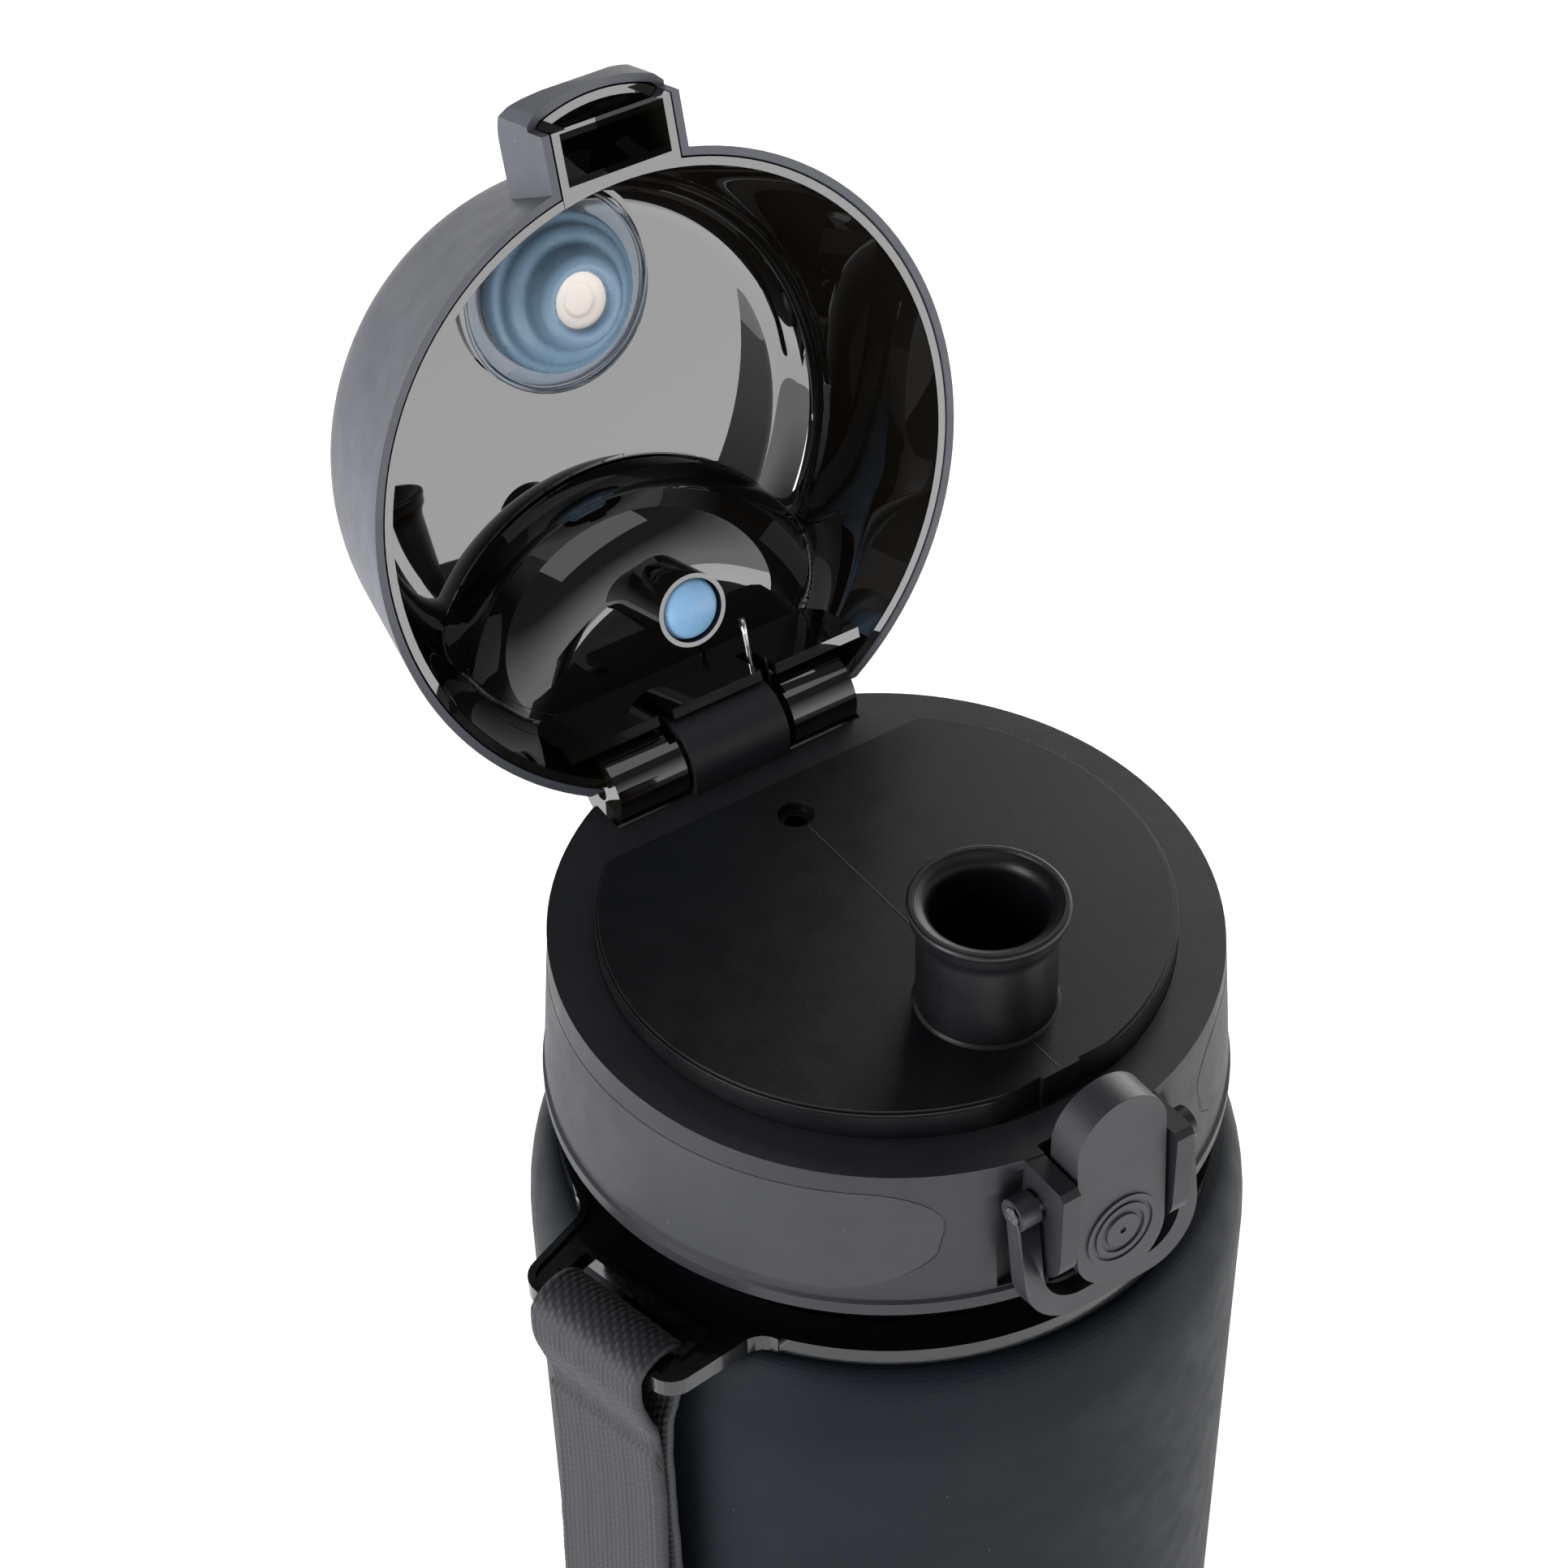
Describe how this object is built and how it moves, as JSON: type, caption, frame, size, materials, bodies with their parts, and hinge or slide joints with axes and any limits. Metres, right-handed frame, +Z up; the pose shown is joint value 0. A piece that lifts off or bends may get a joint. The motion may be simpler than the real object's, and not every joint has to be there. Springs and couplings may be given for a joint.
{
  "type": "flip-top drinking bottle",
  "caption": "Tall round drinking bottle with a sprung flip lid, spout, latch button, swinging lock bail and a carry ring with a hanging webbing strap.",
  "frame": {"origin": "centre of the flat base", "axes": "+Z up along the bottle's axis, the latch faces -Y, the lid's hinge is on the +Y side, the ring's tab points to -X"},
  "size_m": [0.0841, 0.1101, 0.2784],
  "materials": {
    "frosted_body": "frosted",
    "silicone_seal": "satin",
    "matt_charcoal": "fine matt",
    "soft_grip": "soft matt",
    "satin_black": "satin",
    "steel": "drawn wire",
    "soft_touch_grey": "soft-touch matt",
    "gloss_black": "mirror gloss",
    "silicone_clear": "translucent",
    "silicone_blue": "satin",
    "latch_grey": "fine matt",
    "bail_grey": "fine matt",
    "gloss_ring": "gloss",
    "webbing": "woven"
  },
  "bodies": {
    "bottle": {"bottle_body": "frosted_body"},
    "seal": {"neck_gasket": "silicone_seal"},
    "cap": {"collar": "matt_charcoal", "grip_left": "soft_grip", "grip_right": "soft_grip", "spout_deck": "satin_black", "hinge_pin": "steel", "latch_spring": "steel", "latch_pin": "steel"},
    "lid": {"lid_shell": "soft_touch_grey", "lid_liner": "gloss_black", "spout_plug": "silicone_clear", "vent_plug": "silicone_blue", "torsion_spring": "steel"},
    "button": {"latch_button": "latch_grey"},
    "bail": {"lock_bail": "bail_grey"},
    "ring": {"carry_ring": "gloss_ring", "strap": "webbing"}
  },
  "joints": [
    {"name": "cap_lift", "type": "slide", "parent": "bottle", "child": "seal", "axis": [0, 0, 1], "range_m": [0, 0.0061]},
    {"name": "cap_turn", "type": "hinge", "parent": "seal", "child": "cap", "pos_m": [0, 0, 0.206], "axis": [0, 0, 1], "range_deg": [0, 540]},
    {"name": "lid_hinge", "type": "hinge", "parent": "cap", "child": "lid", "pos_m": [0, 0.0301, 0.209], "axis": [1, 0, 0], "range_deg": [0, 105.8], "stiffness_Nm_per_rad": 0.012, "springref_deg": -40.11},
    {"name": "latch_press", "type": "hinge", "parent": "cap", "child": "button", "pos_m": [0, -0.0351, 0.2004], "axis": [1, 0, 0], "range_deg": [0, 6], "stiffness_Nm_per_rad": 0.02, "springref_deg": -8.59},
    {"name": "bail_swing", "type": "hinge", "parent": "cap", "child": "bail", "pos_m": [0, -0.0351, 0.2004], "axis": [-1, 0, 0], "range_deg": [0, 130]},
    {"name": "ring_swivel", "type": "hinge", "parent": "bottle", "child": "ring", "pos_m": [0, 0, 0.1843], "axis": [0, 0, 1], "continuous": true}
  ],
  "couplings": [
    {"joint": "cap_lift", "follows": "cap_turn", "m_per_rad": 0.00063662}
  ]
}
